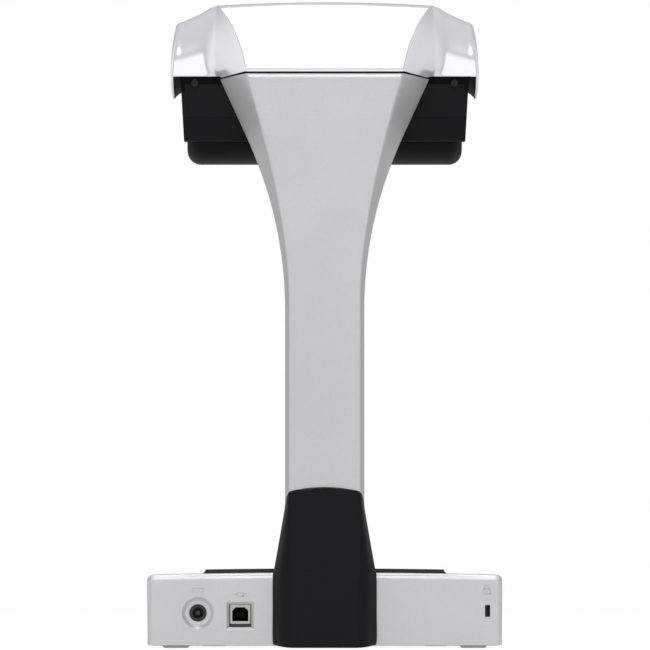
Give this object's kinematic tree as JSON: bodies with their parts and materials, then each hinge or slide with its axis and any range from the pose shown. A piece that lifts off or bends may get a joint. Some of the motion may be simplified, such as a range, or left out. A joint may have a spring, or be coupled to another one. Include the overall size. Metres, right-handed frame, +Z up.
{
  "type": "book scanner",
  "caption": "Overhead book scanner: a weighted base with deck buttons and rear sockets, a flared arm, and a head whose lens drum swings about a level axis.",
  "frame": {"origin": "centre of the bounding box at desk level", "axes": "+Z up; -Y towards the book and the reader; +Y the back, with the sockets; +X is the left side seen from the back"},
  "size_m": [0.21, 0.156, 0.383],
  "materials": {
    "hood_silver": "glossy pearl paint",
    "arm_silver": "satin silver paint",
    "black_shell": "fine satin texture",
    "smoked_front": "polished black",
    "button_black": "satin",
    "black_moulding": "plain moulded",
    "socket_metal": "nickel plate",
    "steel": "zinc plate",
    "fastener": "zinc plate",
    "weight_iron": "dark phosphate",
    "motor_case": "plated can",
    "brass": "machined",
    "white_nylon": "natural nylon",
    "bush": "bearing plastic",
    "circuit_board": "solder mask",
    "sink_alloy": "anodised",
    "ribbon": "flat cable",
    "foot_rubber": "soft, light grey",
    "lamp_window": "frosted",
    "optic_glass": "coated",
    "dark_window": "polished",
    "led": "phosphor"
  },
  "bodies": {
    "stand": {"base_tray": "black_shell", "base_weight": "weight_iron", "rubber_feet": "foot_rubber", "base_screws": "fastener", "base_rear_cover": "arm_silver", "base_front_cover": "black_shell", "main_board": "circuit_board", "board_spacers": "brass", "heat_sink": "sink_alloy", "dc_jack": "black_moulding", "dc_pin": "socket_metal", "usb_port": "socket_metal", "usb_tongue": "black_moulding", "lock_plate": "socket_metal", "button_boards": "circuit_board", "tact_switches": "black_moulding", "power_lamp": "lamp_window", "arm_boot": "black_shell", "arm_frame": "steel", "arm_bolts": "fastener", "arm_rear_cover": "arm_silver", "arm_front_cover": "black_shell", "signal_cable": "ribbon", "head_top_cover": "hood_silver", "head_housing": "black_shell", "front_visor": "smoked_front", "head_screws": "fastener", "head_chassis": "steel", "chassis_screws": "fastener", "head_board": "circuit_board", "board_posts": "brass", "axle_bush_left": "bush", "axle_bush_right": "bush", "motor_bracket": "steel", "drive_motor": "motor_case", "idler_pin": "fastener", "idler_clip": "fastener", "home_sensor": "black_moulding", "drum_ribbon": "ribbon"},
    "scan_unit": {"drum_shell": "black_shell", "drum_end_left": "black_moulding", "drum_end_right": "black_moulding", "axle_left": "fastener", "axle_right": "fastener", "optics_frame": "black_moulding", "drive_sector": "white_nylon", "position_flag": "black_moulding", "lens_barrel": "black_moulding", "lens_glass": "optic_glass", "window_glass": "dark_window", "sensor_board": "circuit_board", "line_sensor": "black_moulding", "lamp_boards": "circuit_board", "lamp_leds": "led", "lamp_lenses": "lamp_window"},
    "idler": {"idler_gear": "white_nylon"},
    "motor_rotor": {"motor_shaft": "fastener", "motor_pinion": "brass"},
    "scan_key": {"scan_button": "button_black"},
    "stop_key": {"stop_button": "button_black"}
  },
  "joints": [
    {"name": "scan_swing", "type": "hinge", "parent": "stand", "child": "scan_unit", "pos_m": [0, -0.022, 0.3245], "axis": [-1, 0, 0], "range_deg": [-8, 38]},
    {"name": "idler_spin", "type": "hinge", "parent": "stand", "child": "idler", "pos_m": [-0.0635, -0.00529, 0.35593], "axis": [-1, 0, 0], "range_deg": [-205, 45]},
    {"name": "motor_spin", "type": "hinge", "parent": "stand", "child": "motor_rotor", "pos_m": [-0.06, 0.01551, 0.35593], "axis": [-1, 0, 0], "range_deg": [-145, 682]},
    {"name": "scan_press", "type": "slide", "parent": "stand", "child": "scan_key", "axis": [0, 0.1736, -0.9848], "range_m": [0, 0.0008], "stiffness_N_per_m": 600, "springref_m": -0.0004},
    {"name": "stop_press", "type": "slide", "parent": "stand", "child": "stop_key", "axis": [0, 0.1736, -0.9848], "range_m": [0, 0.0008], "stiffness_N_per_m": 600, "springref_m": -0.0004}
  ],
  "couplings": [
    {"joint": "idler_spin", "follows": "scan_swing", "ratio": -5.3571},
    {"joint": "motor_spin", "follows": "scan_swing", "ratio": 17.857}
  ]
}
